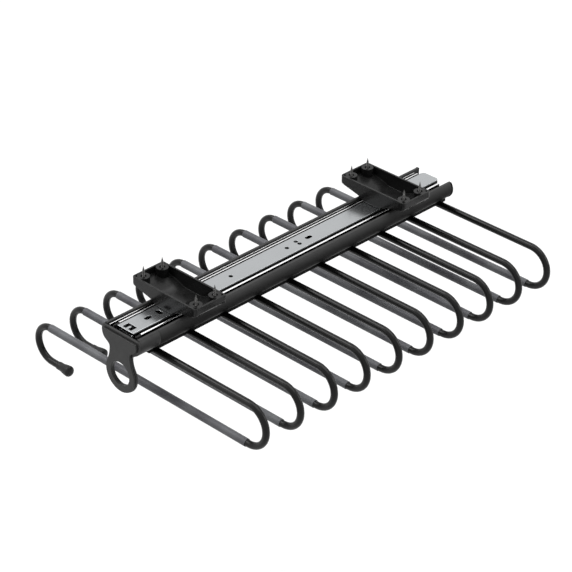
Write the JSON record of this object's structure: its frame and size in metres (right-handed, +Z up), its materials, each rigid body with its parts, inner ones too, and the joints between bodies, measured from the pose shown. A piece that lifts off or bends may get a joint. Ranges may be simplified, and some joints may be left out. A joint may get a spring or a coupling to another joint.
{
  "type": "pull out trouser rack",
  "caption": "Pull-out trouser rack: bent hangers under a black beam with a finger ring, on a ball slide hung from two screw-on shelf trays.",
  "frame": {"origin": "on the shelf's underside (the trays' top plane), midway between the two trays, on the slide's centre line", "axes": "+X to the right along the hangers, towards their U bends; +Y towards the back of the wardrobe; the rack pulls out along -Y; +Z up into the shelf"},
  "size_m": [0.3606, 0.4977, 0.1646],
  "materials": {
    "tray_plastic": "glossy black moulded plastic",
    "cap_plastic": "satin black moulded plastic",
    "bumper_plastic": "matte black",
    "rail_steel": "zinc plated, bright satin",
    "cage_steel": "dull",
    "ball_steel": "polished",
    "zinc_screw": "zinc plated",
    "black_screw": "black oxide",
    "casing_black": "black powder coat, satin",
    "hanger_rail_black": "black powder coat",
    "bar_paint": "black powder coat, satin",
    "sleeve_grey": "dark grey non-slip coating",
    "tip_rubber": "matte black rubber"
  },
  "bodies": {
    "mount": {"front_bracket": "tray_plastic", "rear_bracket": "tray_plastic", "shelf_screws": "zinc_screw", "bracket_screws": "black_screw", "fixed_rail": "rail_steel"},
    "middle": {"middle_rail": "rail_steel", "middle_bumper": "bumper_plastic"},
    "inner_retainer": {"inner_cage": "cage_steel", "inner_balls": "ball_steel"},
    "outer_retainer": {"outer_cage": "cage_steel", "outer_balls": "ball_steel"},
    "carriage": {"outer_rail": "rail_steel", "casing": "casing_black", "front_cap": "cap_plastic", "rear_cap": "cap_plastic", "hanger_rail": "hanger_rail_black", "rail_screws": "zinc_screw", "hanger_screws": "black_screw", "trouser_bar_01": "bar_paint", "trouser_bar_02": "bar_paint", "trouser_bar_03": "bar_paint", "trouser_bar_04": "bar_paint", "trouser_bar_05": "bar_paint", "trouser_bar_06": "bar_paint", "trouser_bar_07": "bar_paint", "trouser_bar_08": "bar_paint", "trouser_bar_09": "bar_paint", "trouser_bar_10": "bar_paint", "bar_sleeve_01": "sleeve_grey", "bar_sleeve_02": "sleeve_grey", "bar_sleeve_03": "sleeve_grey", "bar_sleeve_04": "sleeve_grey", "bar_sleeve_05": "sleeve_grey", "bar_sleeve_06": "sleeve_grey", "bar_sleeve_07": "sleeve_grey", "bar_sleeve_08": "sleeve_grey", "bar_sleeve_09": "sleeve_grey", "bar_sleeve_10": "sleeve_grey", "bar_tip_01": "tip_rubber", "bar_tip_02": "tip_rubber", "bar_tip_03": "tip_rubber", "bar_tip_04": "tip_rubber", "bar_tip_05": "tip_rubber", "bar_tip_06": "tip_rubber", "bar_tip_07": "tip_rubber", "bar_tip_08": "tip_rubber", "bar_tip_09": "tip_rubber", "bar_tip_10": "tip_rubber"}
  },
  "joints": [
    {"name": "carriage_slide", "type": "slide", "parent": "mount", "child": "carriage", "axis": [0, -1, 0], "range_m": [0, 0.45]},
    {"name": "middle_slide", "type": "slide", "parent": "mount", "child": "middle", "axis": [0, -1, 0], "range_m": [0, 0.225]},
    {"name": "inner_retainer_slide", "type": "slide", "parent": "mount", "child": "inner_retainer", "axis": [0, -1, 0], "range_m": [0, 0.1125]},
    {"name": "outer_retainer_slide", "type": "slide", "parent": "mount", "child": "outer_retainer", "axis": [0, -1, 0], "range_m": [0, 0.3375]}
  ],
  "couplings": [
    {"joint": "middle_slide", "follows": "carriage_slide", "ratio": 0.5},
    {"joint": "inner_retainer_slide", "follows": "carriage_slide", "ratio": 0.25},
    {"joint": "outer_retainer_slide", "follows": "carriage_slide", "ratio": 0.75}
  ]
}
